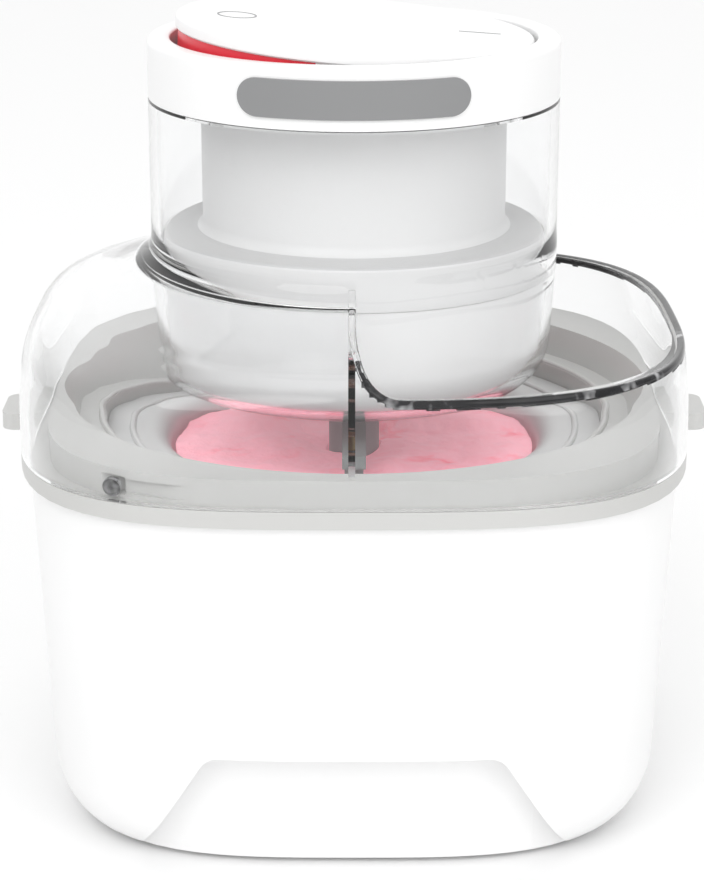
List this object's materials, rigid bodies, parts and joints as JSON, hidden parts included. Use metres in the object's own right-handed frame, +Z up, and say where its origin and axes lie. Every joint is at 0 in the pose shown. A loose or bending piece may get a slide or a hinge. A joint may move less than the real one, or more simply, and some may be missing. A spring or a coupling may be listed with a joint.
{
  "type": "ice cream maker",
  "caption": "Small ice cream maker: white soft-square base, grey freezer bowl, clear domed lid with a pouring opening, paddle, and a lift-off motor unit with a round rocker switch.",
  "frame": {"origin": "on the ground under the middle of the base", "axes": "+Z up, the front with the recess and badge faces -Y, lift tabs on -X and +X"},
  "size_m": [0.18, 0.166, 0.1963],
  "materials": {
    "white_shell": "satin white",
    "light_grey": "satin light grey",
    "mid_grey": "satin grey",
    "liner_grey": "satin grey",
    "clear": "clear moulded plastic",
    "badge_grey": "satin grey",
    "print_grey": "printed grey",
    "red": "satin red",
    "black_rubber": "matte",
    "grey_rubber": "matte",
    "gel": "frozen filling",
    "steel": "steel",
    "brass": "brass",
    "magnet": "dark magnet",
    "winding": "copper winding on steel",
    "gear_white": "natural plastic",
    "black_plastic": "black",
    "board": "green board"
  },
  "bodies": {
    "base": {"base_tub": "white_shell", "rubber_feet": "grey_rubber"},
    "freezer_bowl": {"bowl_collar": "light_grey", "bowl_shell": "light_grey", "bowl_liner": "liner_grey", "cooling_gel": "gel", "bowl_seal": "black_rubber"},
    "paddle_body": {"paddle": "mid_grey"},
    "lid_body": {"lid": "clear"},
    "motor_unit": {"cap_ring": "white_shell", "name_badge": "badge_grey", "upper_housing": "white_shell", "lower_housing": "white_shell", "gear_plate": "steel", "gear_axles": "steel", "shaft_bush": "brass", "motor_can": "steel", "motor_magnets": "magnet", "motor_end_cap": "black_plastic", "motor_screws": "steel", "circuit_board": "board", "power_switch": "black_plastic", "rocker_cradle": "white_shell", "cord_gland": "grey_rubber", "housing_screws": "steel", "plate_screws": "steel"},
    "rotor_body": {"rotor": "winding"},
    "first_wheel_body": {"first_wheel": "gear_white"},
    "second_wheel_body": {"second_wheel": "gear_white"},
    "output_body": {"output_wheel": "gear_white"},
    "plunger_body": {"switch_plunger": "black_plastic"},
    "rocker_body": {"rocker_cap": "white_shell", "rocker_mark": "red", "rocker_symbols": "print_grey"}
  },
  "joints": [
    {"name": "bowl_lift", "type": "slide", "parent": "base", "child": "freezer_bowl", "axis": [0, 0, 1], "range_m": [0, 0.13]},
    {"name": "lid_lift", "type": "slide", "parent": "freezer_bowl", "child": "lid_body", "axis": [0, 0, 1], "range_m": [0, 0.12]},
    {"name": "motor_lift", "type": "slide", "parent": "lid_body", "child": "motor_unit", "axis": [0, 0, 1], "range_m": [0, 0.11]},
    {"name": "paddle_spin", "type": "hinge", "parent": "freezer_bowl", "child": "paddle_body", "pos_m": [0, 0, 0.03], "axis": [0, 0, 1], "continuous": true},
    {"name": "output_spin", "type": "hinge", "parent": "motor_unit", "child": "output_body", "pos_m": [0, 0, 0.106], "axis": [0, 0, 1], "continuous": true},
    {"name": "second_spin", "type": "hinge", "parent": "motor_unit", "child": "second_wheel_body", "pos_m": [0.0255, 0, 0.115], "axis": [0, 0, 1], "continuous": true},
    {"name": "first_spin", "type": "hinge", "parent": "motor_unit", "child": "first_wheel_body", "pos_m": [0.0149, 0.01882, 0.12], "axis": [0, 0, 1], "continuous": true},
    {"name": "rotor_spin", "type": "hinge", "parent": "motor_unit", "child": "rotor_body", "pos_m": [0, 0, 0.14], "axis": [0, 0, 1], "continuous": true},
    {"name": "rocker_tilt", "type": "hinge", "parent": "motor_unit", "child": "rocker_body", "pos_m": [0, 0, 0.1876], "axis": [0, -1, 0], "range_deg": [0, 8.4]},
    {"name": "plunger_slide", "type": "slide", "parent": "motor_unit", "child": "plunger_body", "axis": [0, 0, 1], "range_m": [0, 0.0033]}
  ],
  "couplings": [
    {"joint": "first_spin", "follows": "rotor_spin", "ratio": -0.25},
    {"joint": "second_spin", "follows": "rotor_spin", "ratio": 0.071429},
    {"joint": "output_spin", "follows": "rotor_spin", "ratio": -0.021978},
    {"joint": "paddle_spin", "follows": "rotor_spin", "ratio": -0.021978},
    {"joint": "plunger_slide", "follows": "rocker_tilt", "m_per_rad": 0.022}
  ]
}
